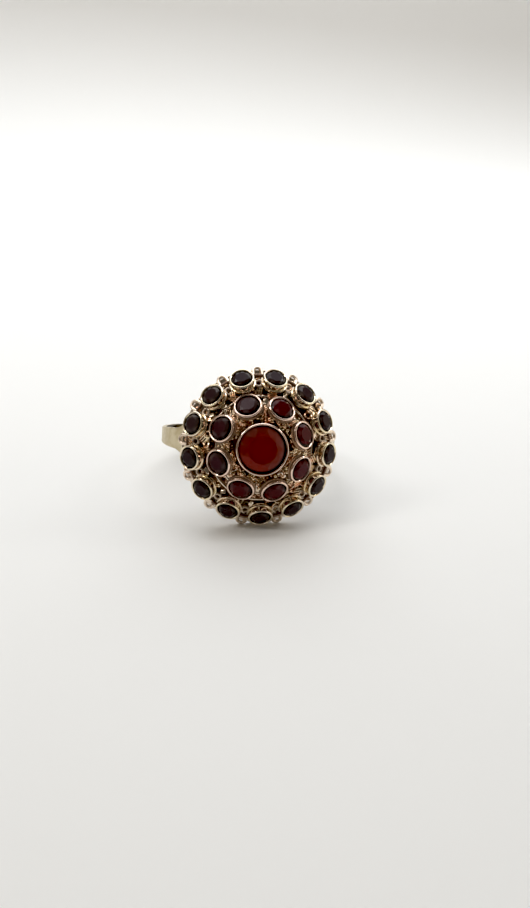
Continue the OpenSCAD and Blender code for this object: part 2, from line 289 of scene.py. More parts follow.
def stone_place(tree, place, seat, width_mm):
    """Turns a place into the stone's own axes, and measures how far out it lies: 0 on the
    stone's axis and 1 at its edge, with the edge moved a little as the light does."""
    location, turned, _ = seat.decompose()
    to_local = seat.to_3x3().inverted()
    local = add_node(tree, "ShaderNodeMapping", {"Vector": place},
                     {"Location": location, "Rotation": turned.to_euler()}, vector_type="TEXTURE")
    across = add_node(tree, "ShaderNodeVectorMath", {0: local.outputs["Vector"]},
                      {1: [2 / (width_mm * MM)] * 2 + [0], 2: to_local @ EDGE_SHIFT},
                      operation="MULTIPLY_ADD")
    flat = add_node(tree, "ShaderNodeVectorMath", {0: across.outputs["Vector"]}, {1: (1, 1, 0)},
                    operation="MULTIPLY")
    reach = add_node(tree, "ShaderNodeVectorMath", {0: flat.outputs["Vector"]}, operation="LENGTH")
    return local.outputs["Vector"], reach.outputs["Value"]


def facing(tree, normal, side, seat):
    """How far a facet turns to one side of the stone, which is 1 where it looks straight there."""
    axis = seat.to_3x3() @ Vector((0, 0, 1))
    sideways = (side - axis * side.dot(axis)).normalized()
    turned = add_node(tree, "ShaderNodeVectorMath", {0: normal}, {1: sideways},
                      operation="DOT_PRODUCT")
    return turned.outputs["Value"]


# %% Garnet
GARNET_IOR = 1.77
DEEP_RED = "#c0081c"
ABSORBED_A_MM = 0.6
PAINTED_EDGE_SHADE = "#0a0202"
TABLE_ZONE = (0.3, 0.8)
GLOW_SIDE = Vector((-0.45, 0, -1))
GLOW_ZONE = (0.15, 0.42)
COOL_SIDE = Vector((1, 0, 0.1))
COOL_ZONE = (0.05, 0.38)
PATCH_MM = 1.0
PATCH_ZONE = (0.46, 0.86)
WEAR_MM = 0.4
WEAR_SPAN = (0.4, 0.75)
WORN_ROUGHNESS = (0.08, 0.16)


def garnet(name, seat, width_mm, table, crown, glow, cool, patch, clear, edge_zone):
    """Garnet of one stone. seat is the matrix of its mouth. The tones are those of its table, of
    its crown, of the crown facets that face down (glow) and right (cool) and of the patches.
    clear is the share of light that goes through, and edge_zone is where the dark edge begins and
    is full."""
    material, tree, out = new_material(name)
    coordinates = add_node(tree, "ShaderNodeTexCoord")
    place, normal = coordinates.outputs["Object"], coordinates.outputs["Normal"]
    local, reach = stone_place(tree, place, seat, width_mm)
    # painted light: a red glow on facets that face down, a greyer reflection on those facing right
    lit = layer(tree, facing(tree, normal, GLOW_SIDE, seat), *GLOW_ZONE, crown, glow)
    lit = layer(tree, facing(tree, normal, COOL_SIDE, seat), *COOL_ZONE, lit, cool)
    body = layer(tree, reach, *TABLE_ZONE, table, lit)
    # soft patches of painted light from the back facets
    patches = add_node(tree, "ShaderNodeTexNoise", {"Vector": local},
                       {"Scale": 1 / (PATCH_MM * MM), "Detail": 0.0, "Distortion": 0.4})
    body = layer(tree, patches.outputs["Fac"], *PATCH_ZONE, body, patch)
    # a dark edge of painted shade over the seat
    tone = layer(tree, reach, *edge_zone, body, PAINTED_EDGE_SHADE)
    wear = add_node(tree, "ShaderNodeTexNoise", {"Vector": place},
                    {"Scale": 1 / (WEAR_MM * MM), "Detail": 2.0})
    dull = add_node(tree, "ShaderNodeMapRange", {"Value": wear.outputs["Fac"]},
                    {"From Min": WEAR_SPAN[0], "From Max": WEAR_SPAN[1],
                     "To Min": WORN_ROUGHNESS[0], "To Max": WORN_ROUGHNESS[1]})
    surface = add_node(tree, "ShaderNodeBsdfPrincipled",
                       {"Base Color": tone, "Roughness": dull.outputs["Result"]},
                       {"IOR": GARNET_IOR, "Transmission Weight": clear, "Coat Weight": 0.05,
                        "Coat Roughness": 0.03, "Coat IOR": GARNET_IOR,
                        "Specular IOR Level": 0.03})
    inside = add_node(tree, "ShaderNodeVolumeAbsorption",
                      inputs={"Color": linear(DEEP_RED), "Density": ABSORBED_A_MM / MM})
    tree.links.new(surface.outputs["BSDF"], out.inputs["Surface"])
    tree.links.new(inside.outputs["Volume"], out.inputs["Volume"])
    return material


# %% [markdown]
# ## How a piece is finished
# Every gold piece goes the same way: its sharp edges are rounded a little, as polishing does, its
# shape is laid down with the head's matrix, and faces that meet at a shallow angle are shaded
# smooth. It rides on the ring's one body and stands for the plain gold solid.

# %% Helpers for shapes
SHARP = math.radians(32)
MERGE = 1e-4 * MM


def soften(bm, width, segments=2):
    """Rounds every edge where two faces meet at a clear angle."""
    sharp = [e for e in bm.edges if e.is_manifold and e.calc_face_angle() > SHARP]
    bmesh.ops.bevel(bm, geom=sharp, offset=width, offset_type="OFFSET", segments=segments,
                    profile=0.5, affect="EDGES", material=-1, clamp_overlap=True)


def clean(bm):
    """Merges doubled points and turns every face outwards."""
    bmesh.ops.remove_doubles(bm, verts=bm.verts, dist=MERGE)
    bmesh.ops.recalc_face_normals(bm, faces=bm.faces)


def repeat(bm, places):
    """Puts a copy of the whole shape at each place."""
    shape = bm.verts[:] + bm.edges[:] + bm.faces[:]
    for place in places[1:]:
        copy = bmesh.ops.duplicate(bm, geom=shape)["geom"]
        verts = [g for g in copy if isinstance(g, bmesh.types.BMVert)]
        bmesh.ops.transform(bm, matrix=place, verts=verts)
    first = [g for g in shape if isinstance(g, bmesh.types.BMVert)]
    bmesh.ops.transform(bm, matrix=places[0], verts=first)


def gold_piece(name, bm, material, frame_matrix=HEAD):
    """Makes the shape an object of the ring, laid down in the pose of rest."""
    bmesh.ops.transform(bm, matrix=frame_matrix, verts=bm.verts)
    for face in bm.faces:
        face.smooth = True
    for edge in bm.edges:
        edge.smooth = not (edge.is_manifold and edge.calc_face_angle() > SHARP)
    mesh = bpy.data.meshes.new(name)
    bm.to_mesh(mesh)
    bm.free()
    mesh.materials.append(material)
    piece = bpy.data.objects.new(name, mesh)
    bpy.context.scene.collection.objects.link(piece)
    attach(piece, "root")
    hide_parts("gold_mount")
    triangles = sum(len(f.vertices) - 2 for f in mesh.polygons)
    print(name, "triangles:", triangles)
    return piece


def line_of_points(bm, points, closed=False):
    """Joins points (x, z) into a line in the XZ plane, ready to be turned on a lathe."""
    verts = [bm.verts.new((x, 0, z)) for x, z in points]
    pairs = list(zip(verts, verts[1:])) + ([(verts[-1], verts[0])] if closed else [])
    return verts + [bm.edges.new(pair) for pair in pairs]


def lathe(bm, geom, steps):
    """Turns a line a full turn round Z."""
    bmesh.ops.spin(bm, geom=geom, cent=(0, 0, 0), axis=(0, 0, 1), angle=FULL, steps=steps,
                   use_merge=True)
    clean(bm)


# %% [markdown]
# ## Collets
# A collet is a small turned cup that holds one stone. Its thin rim was rubbed down over the
# garnet's edge, its wall draws in a little below, and a thicker collar runs round its foot. It
# could be cut from a cylinder, but its outline is all that matters, so we draw half of the cup's
# section, with the seat for the stone and the light hole under it, and turn it as on a lathe. The
# walls of the middle row stand close and get a darker gold, partly their tarnish and partly
# painted shade between the collets, so only their rims are bright.

# %% Section of a collet
RIM_WALL = 0.26 * MM
RIM_RISE = 0.09 * MM
RIM_ROUND = 0.09 * MM
SHADED_WALL_BELOW = 0.14 * MM
WALL_TAPER = 0.06 * MM
COLLAR_OUT = 0.08 * MM
WAIST_H = 0.4 * MM
GIRDLE_IN = 0.08 * MM
GIRDLE_DOWN = 0.16 * MM
GIRDLE_T = 0.06 * MM
SEAT_GAP = 0.04 * MM
TABLE_PART = 0.58
PAVILION_SLOPE = 0.84
HOLE_PART = 0.52
COLLET_ROUND = 0.07 * MM
SMALL_STEPS = 56
WIDE_STEPS = 96


def collet(show, crown, depth, collar_top, collar_h, foot_in, hole=None, steps=SMALL_STEPS):
    """One collet with its mouth at z = 0. show is the width of garnet in sight, all in mm."""
    mouth = show / 2 * MM
    girdle = mouth + GIRDLE_IN
    hole_r = hole * MM if hole else girdle * HOLE_PART
    room = girdle + SEAT_GAP
    slope = (crown * MM + GIRDLE_DOWN) / (girdle * (1 - TABLE_PART))
    lip = -GIRDLE_DOWN + SEAT_GAP + GIRDLE_IN * slope
    seat = -GIRDLE_DOWN - GIRDLE_T - SEAT_GAP
    outer = mouth + RIM_WALL
    wall = outer - WALL_TAPER
    out = outer + COLLAR_OUT
    top = -collar_top * MM
    low = top - collar_h * MM
    foot_r = outer - foot_in * MM
    foot = -depth * MM
    collar = [(out, top), (out, low), (wall, low)] if collar_h else []
    bm = bmesh.new()
    section = line_of_points(bm, [
        (mouth, lip), (mouth, RIM_RISE - RIM_ROUND), (mouth + RIM_ROUND, RIM_RISE),
        (outer - RIM_ROUND, RIM_RISE), (outer, RIM_RISE - RIM_ROUND), (wall, top), *collar,
        (foot_r, low - WAIST_H), (foot_r, foot), (hole_r, foot),
        (hole_r, seat - (room - hole_r) * PAVILION_SLOPE), (room, seat),
        (room, -GIRDLE_DOWN + SEAT_GAP)
    ], closed=True)
    lathe(bm, section, steps)
    soften(bm, COLLET_ROUND, 3)
    return bm


# %% Centre, middle and outer collets
CENTRE_SHOW, CENTRE_H, CENTRE_CROWN, CENTRE_DEPTH, CENTRE_HOLE = 5.1, 2.5, 0.5, 1.7, 1.15
MID_SHOW, MID_R, MID_H, MID_TILT, MID_CROWN, MID_DEPTH = 2.54, 4.84, 1.5, 41, 0.3, 1.6
RIM_SHOW, RIM_R, RIM_TILT, RIM_CROWN, RIM_DEPTH = 2.22, 7.65, 46, 0.26, 1.6
CENTRE_COLLAR = {"collar_top": 0.7, "collar_h": 0, "foot_in": 0.3}
MID_COLLAR = {"collar_top": 0.3, "collar_h": 0.24, "foot_in": 0.58}
RIM_COLLAR = {"collar_top": 0.62, "collar_h": 0.36, "foot_in": 0.34}

mid_places = [on_dome(MID_R * MM, MID_H * MM, MID_TILT, mid_angle(i + 1)) for i in range(MID_COUNT)]
rim_places = [on_dome(RIM_R * MM, 0, RIM_TILT, rim_angle(i + 1)) for i in range(RIM_COUNT)]

centre_place = Matrix.Translation((0, 0, CENTRE_H * MM))
bm = collet(CENTRE_SHOW, CENTRE_CROWN, CENTRE_DEPTH, **CENTRE_COLLAR, hole=CENTRE_HOLE,
            steps=WIDE_STEPS)
repeat(bm, [centre_place])
gold_piece("centre_collet", bm, painted_reflection_rose_gold)

bm = collet(MID_SHOW, MID_CROWN, MID_DEPTH, **MID_COLLAR)
# below the rim the middle collets get the darker wall gold: tarnish and painted shade
for face in bm.faces:
    face.material_index = int(face.calc_center_median().z < -SHADED_WALL_BELOW)
repeat(bm, mid_places)
middle_collets = gold_piece("middle_collets", bm, painted_reflection_rose_gold)
middle_collets.data.materials.append(tarnished_and_shaded_wall_gold)

bm = collet(RIM_SHOW, RIM_CROWN, RIM_DEPTH, **RIM_COLLAR)
repeat(bm, rim_places)
gold_piece("rim_collets", bm, champagne_gold)

# %% [markdown]
# ## Domed plate
# Under the collets lies a plate, hammered to a dome, which holds them together. Each stone has a
# light hole through it. The shell is again turned from its section, and cylinders cut the holes.
# Its underside gets the gold of the band's inside, whose darker tone is painted shade under the
# head.

# %% Arc and cutters for the plate
PLATE_R = 7.05 * MM
PLATE_T = 0.6 * MM
PLATE_ROUND = 0.05 * MM
ARC_STEPS = 14
HOLE_MARGIN = 0.04 * MM
CUT_LENGTH = 3 * MM
CUT_BELOW = 0.3
CUT_STEPS = 40
UNDERSIDE = -0.2


def arc_of_dome(radius, reach):
    """Points on a dome of that radius, from its axis out to reach."""
    angles = [math.asin(reach / radius) * k / ARC_STEPS for k in range(ARC_STEPS + 1)]
    return [(radius * math.sin(a), PLATE_CENTRE.z + radius * math.cos(a)) for a in angles]


def cutter(radius, depth_mm, places):
    """Cylinders through the plate, one under each place."""
    bm = bmesh.new()
    bmesh.ops.create_cone(bm, cap_ends=True, segments=CUT_STEPS, radius1=radius, radius2=radius,
                          depth=CUT_LENGTH)
    bmesh.ops.translate(bm, vec=(0, 0, -(depth_mm + CUT_BELOW) * MM), verts=bm.verts)
    repeat(bm, places)
    mesh = bpy.data.meshes.new("cutter")
    bm.to_mesh(mesh)
    bm.free()
    tool = bpy.data.objects.new("cutter", mesh)
    bpy.context.scene.collection.objects.link(tool)
    return tool


def cut(bm, tools):
    """Takes the tools out of the shape and removes them."""
    mesh = bpy.data.meshes.new("blank")
    bm.to_mesh(mesh)
    bm.free()
    blank = bpy.data.objects.new("blank", mesh)
    bpy.context.scene.collection.objects.link(blank)
    for tool in tools:
        modifier = blank.modifiers.new("cut", "BOOLEAN")
        modifier.operation = "DIFFERENCE"
        modifier.solver = "EXACT"
        modifier.object = tool
    result = bmesh.new()
    result.from_object(blank, bpy.context.evaluated_depsgraph_get())
    for used in [blank] + tools:
        bpy.data.objects.remove(used)
    return result


# %% Plate
bm = bmesh.new()
inner = arc_of_dome(PLATE_BEND - PLATE_T, PLATE_R)
section = line_of_points(bm, arc_of_dome(PLATE_BEND, PLATE_R) + inner[::-1])
lathe(bm, section, WIDE_STEPS)
mid_hole, rim_hole = [(show / 2 * MM + GIRDLE_IN) * HOLE_PART + HOLE_MARGIN
                      for show in (MID_SHOW, RIM_SHOW)]
bm = cut(bm, [
    cutter(CENTRE_HOLE * MM + HOLE_MARGIN, CENTRE_DEPTH, [centre_place]),
    cutter(mid_hole, MID_DEPTH, mid_places),
    cutter(rim_hole, RIM_DEPTH, rim_places),
])
soften(bm, PLATE_ROUND)
# faces that look down get the darker inside gold: painted shade under the head
for face in bm.faces:
    face.material_index = int(face.normal.z < UNDERSIDE)
plate = gold_piece("domed_plate", bm, plate_gold)
plate.data.materials.append(inside_shade_gold)

# %% [markdown]
# ## Rail
# A flat rail runs round the plate's edge and carries the arches. It is a ring cut from sheet, so
# its section is four points, turned like the rest.

# %% Rail under the arches
RAIL_R = 8.3 * MM
RAIL_IN = 6.8 * MM
RAIL_TOP = -1.15 * MM
RAIL_DROP = 0.3 * MM
RAIL_T = 0.3 * MM
RAIL_ROUND = 0.08 * MM
RING_STEPS = 120
rail_low = RAIL_TOP - RAIL_DROP

bm = bmesh.new()
section = line_of_points(bm, [(RAIL_IN, RAIL_TOP), (RAIL_R, rail_low), (RAIL_R, rail_low - RAIL_T),
                              (RAIL_IN, RAIL_TOP - RAIL_T)], closed=True)
lathe(bm, section, RING_STEPS)
soften(bm, RAIL_ROUND, 3)
gold_piece("gallery_rail", bm, wire_gold)

# %% [markdown]
# ## Shank
# The shank is a flat band bent round the finger, which widens into two shoulders that rise to the
# head. We spin a rounded rectangle most of the way round the finger's axis. Then each point is
# moved to the radius and the half width that the band has at its place: a straight rise over the
# shoulders and a curve where the sides flare. The inside and the inner part of both edges get a
# second, grey and darker material: painted shade inside the band.

# %% Width and radius of the band
BAND_R = 10.25 * MM
HALF_SLIM = 0.9 * MM
HALF_NECK = 1.15 * MM
HALF_WIDE = 2.9 * MM
FLARE_START = 4.6 * MM
FLARE_R = 2.6 * MM
SHOULDER = math.radians(55)
SHANK_END = math.radians(25)
SHANK_STOP = 4.6 * MM
SHANK_STEPS = 150
PLATE_IN = 11.7 * MM
BAND_ROUND = 0.16 * MM
INNER_SHADE_REACH = 0.75 * MM


def half_width(z):
    """Half the band's width at the height z over the finger hole's centre."""
    if z < 0:
        return HALF_SLIM
    if z < FLARE_START:
        return HALF_SLIM + (HALF_NECK - HALF_SLIM) * z / FLARE_START
    rise = min(1.0, (z - FLARE_START) / FLARE_R)
    return min(HALF_WIDE, HALF_NECK + FLARE_R * (1 - math.sqrt(1 - rise * rise)))


def outer_radius(phi):
    """Outer radius of the shank at the angle phi from the head."""
    if abs(phi) > SHOULDER:
        return BAND_R
    return min(PLATE_IN, BAND_R / math.cos(SHOULDER - abs(phi)))


# %% Band with its shoulders
bm = bmesh.new()
shade_r = BORE_R + INNER_SHADE_REACH
half_section = [(BORE_R, HALF_SLIM), (shade_r, HALF_SLIM), (BAND_R, HALF_SLIM)]
outline = [(r, -y) for r, y in half_section] + half_section[::-1]
points = [bm.verts.new((0, y, r)) for r, y in outline]
bm.faces.new(points)
bmesh.ops.bevel(bm, geom=[p for p in points if p.co.z != points[1].co.z], offset=BAND_ROUND,
                segments=4, profile=0.5, affect="VERTICES", material=-1)
bmesh.ops.rotate(bm, cent=(0, 0, 0), matrix=Matrix.Rotation(SHANK_END, 3, "Y"), verts=bm.verts)
bmesh.ops.spin(bm, geom=bm.verts[:] + bm.edges[:] + bm.faces[:], cent=(0, 0, 0), axis=(0, 1, 0),
               angle=FULL - 2 * SHANK_END, steps=SHANK_STEPS)
# faces near the bore get the darker inside gold: painted shade inside the band
for face in bm.faces:
    centre = face.calc_center_median()
    face.material_index = int(math.hypot(centre.x, centre.z) < shade_r)
for vert in bm.verts:
    phi = math.atan2(vert.co.x, vert.co.z)
    radius = math.hypot(vert.co.x, vert.co.z)
    share = (radius - BORE_R) / (BAND_R - BORE_R)
    radius = BORE_R + share * (outer_radius(phi) - BORE_R)
    z = radius * math.cos(phi)
    edge_in = HALF_SLIM - abs(vert.co.y)
    y = math.copysign(half_width(z) - edge_in, vert.co.y)
    vert.co = Vector((radius * math.sin(phi), y, z))
clean(bm)
SHANK = HEAD @ Matrix.Translation(HOOP) @ Matrix.Rotation(-shank_turn, 4, "Z")
shank = gold_piece("shank", bm, shaded_satin_gold, SHANK)
shank.data.materials.append(inside_shade_gold)

# %% [markdown]
# ## Wire arches
# Between every two outer collets a horseshoe of round wire closes the edge of the head. The lowest
# two are what the ring lies on. A circle spun half a turn makes the bend, and its open ends are
# extruded into the legs.

# %% Arches between the outer collets
ARCH_WIRE = 0.36 * MM
ARCH_BEND = 0.48 * MM
ARCH_TILT = 40
ARCH_REACH = 8.68 * MM
ARCH_LOW = -1.6 * MM
ARCH_LEG = 0.55 * MM
ARCH_OUT = ARCH_BEND + ARCH_WIRE / 2
ARCH_R = ARCH_REACH - ARCH_OUT * math.cos(math.radians(ARCH_TILT))
ARCH_Z = ARCH_LOW + ARCH_OUT * math.sin(math.radians(ARCH_TILT))
WIRE_SIDES = 14


def wire_end(bm, r, wire, angle=0.0, sides=WIRE_SIDES):
    """A disc of wire at the radius r, standing across the wire's run."""
    disc = bmesh.ops.create_circle(bm, cap_ends=True, segments=sides, radius=wire / 2)["verts"]
    stand = (Matrix.Rotation(angle, 4, "Z") @ Matrix.Translation((r, 0, 0))
             @ Matrix.Rotation(math.pi / 2, 4, "X"))
    bmesh.ops.transform(bm, matrix=stand, verts=disc)
    return disc


def closed_wire(r, wire, steps, sides=WIRE_SIDES):
    """A ring of round wire."""
    bm = bmesh.new()
    disc = wire_end(bm, r, wire, sides=sides)
    bmesh.ops.delete(bm, geom=bm.faces[:], context="FACES_ONLY")
    bmesh.ops.spin(bm, geom=disc + bm.edges[:], cent=(0, 0, 0), axis=(0, 0, 1), angle=FULL,
                   steps=steps, use_merge=True)
    clean(bm)
    return bm


def horseshoe(r, wire, leg, steps=18):
    """A half ring of wire whose round end points along x, with straight legs."""
    bm = bmesh.new()
    disc = wire_end(bm, r, wire, -math.pi / 2)
    start = bm.faces[:]
    end = bmesh.ops.spin(bm, geom=disc + bm.edges[:] + start, cent=(0, 0, 0), axis=(0, 0, 1),
                         angle=math.pi, steps=steps)["geom_last"]
    ends = start + [g for g in end if isinstance(g, bmesh.types.BMFace)]
    for face in ends:
        tip = bmesh.ops.extrude_discrete_faces(bm, faces=[face])["faces"][0]
        bmesh.ops.translate(bm, vec=(-leg, 0, 0), verts=tip.verts)
    clean(bm)
    return bm


bm = horseshoe(ARCH_BEND, ARCH_WIRE, ARCH_LEG)
repeat(bm, [on_dome(ARCH_R, ARCH_Z, ARCH_TILT, rim_angle(i + 1.5)) for i in range(RIM_COUNT)])
gold_piece("wire_arches", bm, arch_gold)

# %% [markdown]
# ## Hoops
# Round wire hoops run through the rows and tie the collets together: two fine ones through the
# middle row and a thicker one through the outer row. The thick one lies low and gets a brown
# gold of painted shade, so it is a piece of its own, and the two fine ones are joined.

# %% Hoops through the rows
FINE_WIRE = 0.26 * MM
HOOPS = [
    (4.75 * MM, 1.02 * MM, FINE_WIRE),
    (5.55 * MM, 0.4 * MM, FINE_WIRE),
    (ARCH_R - ARCH_LEG * math.cos(math.radians(ARCH_TILT)),
     ARCH_Z + ARCH_LEG * math.sin(math.radians(ARCH_TILT)), ARCH_WIRE),
]


def joined(shapes):
    """Joins several shapes into one and frees them."""
    whole = bmesh.new()
    scratch = bpy.data.meshes.new("scratch")
    for shape in shapes:
        shape.to_mesh(scratch)
        shape.free()
        whole.from_mesh(scratch)
    bpy.data.meshes.remove(scratch)
    return whole


rings = []
for hoop_r, hoop_z, hoop_wire in HOOPS:
    ring = closed_wire(hoop_r, hoop_wire, RING_STEPS)
    repeat(ring, [Matrix.Translation((0, 0, hoop_z))])
    rings.append(ring)
# the thick hoop: brown gold that paints its shade low between the collets
gold_piece("rim_hoop", rings.pop(), shaded_hoop_gold)
gold_piece("middle_hoops", joined(rings), wire_gold)

# %% [markdown]
# ## Wound coils
# Inside each arch stands a short coil of wound wire, a usual filling of such work. A disc of wire
# is spun round with a small step up each time, which makes a helix, and every coil is the same.

# %% Coils inside the arches
COIL_R = 6.5 * MM
COIL_OUT = 0.46 * MM
COIL_WIRE = 0.22 * MM
COIL_TURNS = 4
COIL_SUNK = 0.1 * MM
COIL_PITCH = 0.96
COIL_TWIST = 2.1


def coil(outer, wire, turns, steps_a_turn=20):
    """A tight coil of wire that stands on z = 0."""
    bm = bmesh.new()
    disc = wire_end(bm, outer - wire / 2, wire)
    steps = turns * steps_a_turn
    bmesh.ops.spin(bm, geom=disc + bm.edges[:] + bm.faces[:], cent=(0, 0, 0), axis=(0, 0, 1),
                   dvec=(0, 0, wire * COIL_PITCH / steps_a_turn), angle=turns * FULL, steps=steps)
    bmesh.ops.translate(bm, vec=(0, 0, wire / 2), verts=bm.verts)
    clean(bm)
    return bm


bm = coil(COIL_OUT, COIL_WIRE, COIL_TURNS)
repeat(bm, [on_plate(COIL_R, rim_angle(i + 1.5), -COIL_SUNK, i * COIL_TWIST)
            for i in range(RIM_COUNT)])
# the coils' brown gold paints the shade inside the arches
gold_piece("wound_coils", bm, shaded_coil_gold)

# %% [markdown]
# ## Strips
# Short flat strips of sheet lead from the foot of the centre collet out between the middle ones,
# one to each gap. A strip is a cube, scaled to its run, with rounded edges, and turned eight times.

# %% Flat strips
STRIP_W = 0.5 * MM
STRIP_FROM = Vector((3.75 * MM, 0, 1.6 * MM))
STRIP_TO = Vector((4.85 * MM, 0, 0.98 * MM))
STRIP_ROUND = 0.06 * MM
run = STRIP_TO - STRIP_FROM
strip_lean = math.atan2(-run.z, run.x)

bm = bmesh.new()
bmesh.ops.create_cube(bm, size=1.0)
bmesh.ops.scale(bm, vec=(run.length, STRIP_W, FINE_WIRE), verts=bm.verts)
bmesh.ops.translate(bm, vec=(run.length / 2, 0, -FINE_WIRE / 2), verts=bm.verts)
soften(bm, STRIP_ROUND, 3)
lean = Matrix.Translation(STRIP_FROM) @ Matrix.Rotation(strip_lean, 4, "Y")
repeat(bm, [Matrix.Rotation(mid_angle(i + 1.5), 4, "Z") @ lean for i in range(MID_COUNT)])
gold_piece("flat_strips", bm, wire_gold)

# %% [markdown]
# ## Fillings
# Between the collets the goldsmith soldered whatever fills the space: gold beads, short ends of
# wire laid side by side, small rings and flat bits of sheet. They follow no rule, so we draw
# their places at random, always from the same seed, and drop those that fall on a collet. Each
# kind is a small shape with few faces, made once and then repeated.

# %% Places between the collets
SEED = 11
rng = random.Random(SEED)


def seat_row(place, show, form):
    """A collet's place turned round, its outer radius, its foot's radius and where it draws in."""
    outer = show / 2 * MM + RIM_WALL
    low = (form["collar_top"] + form["collar_h"]) * MM
    return place.inverted(), outer, outer - form["foot_in"] * MM, low


SEATS = [seat_row(centre_place, CENTRE_SHOW, CENTRE_COLLAR)]
SEATS += [seat_row(place, MID_SHOW, MID_COLLAR) for place in mid_places]
SEATS += [seat_row(place, RIM_SHOW, RIM_COLLAR) for place in rim_places]


def between_collets(point, room):
    """True where the point is clear of every stone's collet by the room given."""
    for to_seat, outer, foot, low in SEATS:
        local = to_seat @ point
        drawn = min(1.0, max(0.0, (-local.z - low) / WAIST_H))
        if math.hypot(local.x, local.y) < outer + (foot - outer) * drawn + room:
            return False
    return True


def fill_places(count, reach, up, room, lean=0.0):
    """Random places on the plate between the collets. reach and up are ranges in mm."""
    places = []
    while len(places) < count:
        r = math.sqrt(rng.uniform(reach[0] ** 2, reach[1] ** 2)) * MM
        place = on_plate(r, rng.uniform(0, FULL), rng.uniform(*up) * MM, rng.uniform(0, FULL))
        if between_collets(place.translation, room):
            tilt = math.radians(rng.uniform(-lean, lean))
            places.append(place @ Matrix.Rotation(tilt, 4, "X"))
    return places


FILL_REACH = (2.9, 7.6)
INNER_REACH = (2.9, 4.3)


def scatter(bm, inner, whole, room, lean=0.0):
    """Repeats a filling, first close round the centre collet and then over the whole plate. inner
    and whole are (how many, lowest and highest place over the plate in mm)."""
    places = fill_places(inner[0], INNER_REACH, inner[1:], room, lean)
    repeat(bm, places + fill_places(whole[0], FILL_REACH, whole[1:], room, lean))


print("collets to keep clear of:", len(SEATS))

# %% Gold beads
BEADS = [(0.22, 44), (0.17, 60), (0.13, 20)]
INNER_SHARE = 2.0
BEAD_ROOM = 0.6

shapes = []
for bead_r, count in BEADS:
    bm = bmesh.new()
    bmesh.ops.create_icosphere(bm, subdivisions=2, radius=bead_r * MM)
    scatter(bm, (int(count * INNER_SHARE), 0.2, 1.5), (count, 0.05, 0.75), bead_r * MM * BEAD_ROOM)
    shapes.append(bm)
gold_piece("granulation", joined(shapes), fill_gold)

# %% Small rings of wire
CURL_R = 0.36 * MM
CURL_WIRE = 0.2 * MM

bm = closed_wire(CURL_R, CURL_WIRE, 16, sides=8)
scatter(bm, (30, 0.5, 1.2), (56, 0.25, 0.85), 0.1 * MM, lean=50)
gold_piece("wire_curls", bm, fill_gold)

# %% Ends of wire, laid in threes
END_LENGTH = 1.0 * MM
END_WIRE = 0.2 * MM
END_SPACING = 1.25 * END_WIRE
END_ROUND = 0.3 * END_WIRE
CAP_ANGLE = math.radians(60)

bm = bmesh.new()
bmesh.ops.create_cone(bm, cap_ends=True, segments=8, radius1=END_WIRE / 2, radius2=END_WIRE / 2,
                      depth=END_LENGTH)
caps = [e for e in bm.edges if e.calc_face_angle() > CAP_ANGLE]
bmesh.ops.bevel(bm, geom=caps, offset=END_ROUND, segments=2, profile=0.5, affect="EDGES",
                material=-1)
lie = Matrix.Rotation(math.pi / 2, 4, "Y")
repeat(bm, [Matrix.Translation((0, k * END_SPACING, 0)) @ lie for k in (-1, 0, 1)])
scatter(bm, (18, 0.5, 1.1), (38, 0.3, 0.8), 0.2 * MM, lean=35)
gold_piece("wire_ends", bm, fill_gold)

# %% Bits of sheet
BIT = Vector((0.6, 0.42, 0.14)) * MM
BIT_ROUND = 0.04 * MM

bm = bmesh.new()
bmesh.ops.create_cube(bm, size=1.0)
bmesh.ops.scale(bm, vec=BIT, verts=bm.verts)
soften(bm, BIT_ROUND)
scatter(bm, (10, 0.8, 1.2), (28, 0.55, 0.9), 0.15 * MM, lean=40)
gold_piece("sheet_bits", bm, wire_gold)

# %% [markdown]
# ## Stones
# The stones keep their construction solids, because a cut stone is flat facets and nothing else.
# They only get their material. Of the middle row, the stones at the bottom and on the right show
# the most red. The outer row looks nearly black, apart from three stones at the upper left and
# the upper right, whose greyer tones are painted reflection of the bright room. Each set of tones
# is for the table, the crown, the facets that face down, those that face right, and the patches.

# %% Dress the stones
CRIMSON = ("#7e0a14", "#6a281e", "#8c2414", "#7e4038", "#7c2a1a")
RED = ("#4e0a12", "#461618", "#60141a", "#502a28", "#6a3c3c")
DARK = ("#38141c", "#341e20", "#3e1c1e", "#3e302e", "#5c4a4a")
NEAR_BLACK = ("#2a1016", "#2a1a1a", "#301618", "#362c28", "#4a3e3a")
# greyer tones: painted reflection of the bright room in three upper stones
LIT_GREY = ("#3c2c2e", "#3e3432", "#3a2624", "#443834", "#66564e")
RED_MIDS = (1, 2, 3, 4, 8)
LIT_RIMS = (6, 9, 10)
CENTRE_EDGE_ZONE = (0.87, 0.97)
EDGE_ZONE = (0.75, 0.93)


def dress(node, place, width_mm, tones, clear=0.1, edge_zone=EDGE_ZONE):
    """Gives a construction node a garnet of its own."""
    mesh = frame["nodes"][node].data
    mesh.materials.clear()
    mesh.materials.append(garnet(f"garnet_of_{node}", HEAD @ place, width_mm, *tones,
                                 clear, edge_zone))


dress("stone_centre", centre_place, CENTRE_SHOW, CRIMSON, edge_zone=CENTRE_EDGE_ZONE)
for i, place in enumerate(mid_places, start=1):
    if i in RED_MIDS:
        dress(f"stone_mid_{i}", place, MID_SHOW, RED)
    else:
        dress(f"stone_mid_{i}", place, MID_SHOW, DARK, clear=0.04)
for i, place in enumerate(rim_places, start=1):
    dress(f"stone_rim_{i}", place, RIM_SHOW, LIT_GREY if i in LIT_RIMS else NEAR_BLACK)
print("stones dressed:", 1 + MID_COUNT + RIM_COUNT)

# %% [markdown]
# ## Table and backdrop
# The ring lies on white paper that sweeps up behind it, so there is no horizon. A strip of faces
# is extruded along the floor and up, and its fold is rounded with a wide bevel.

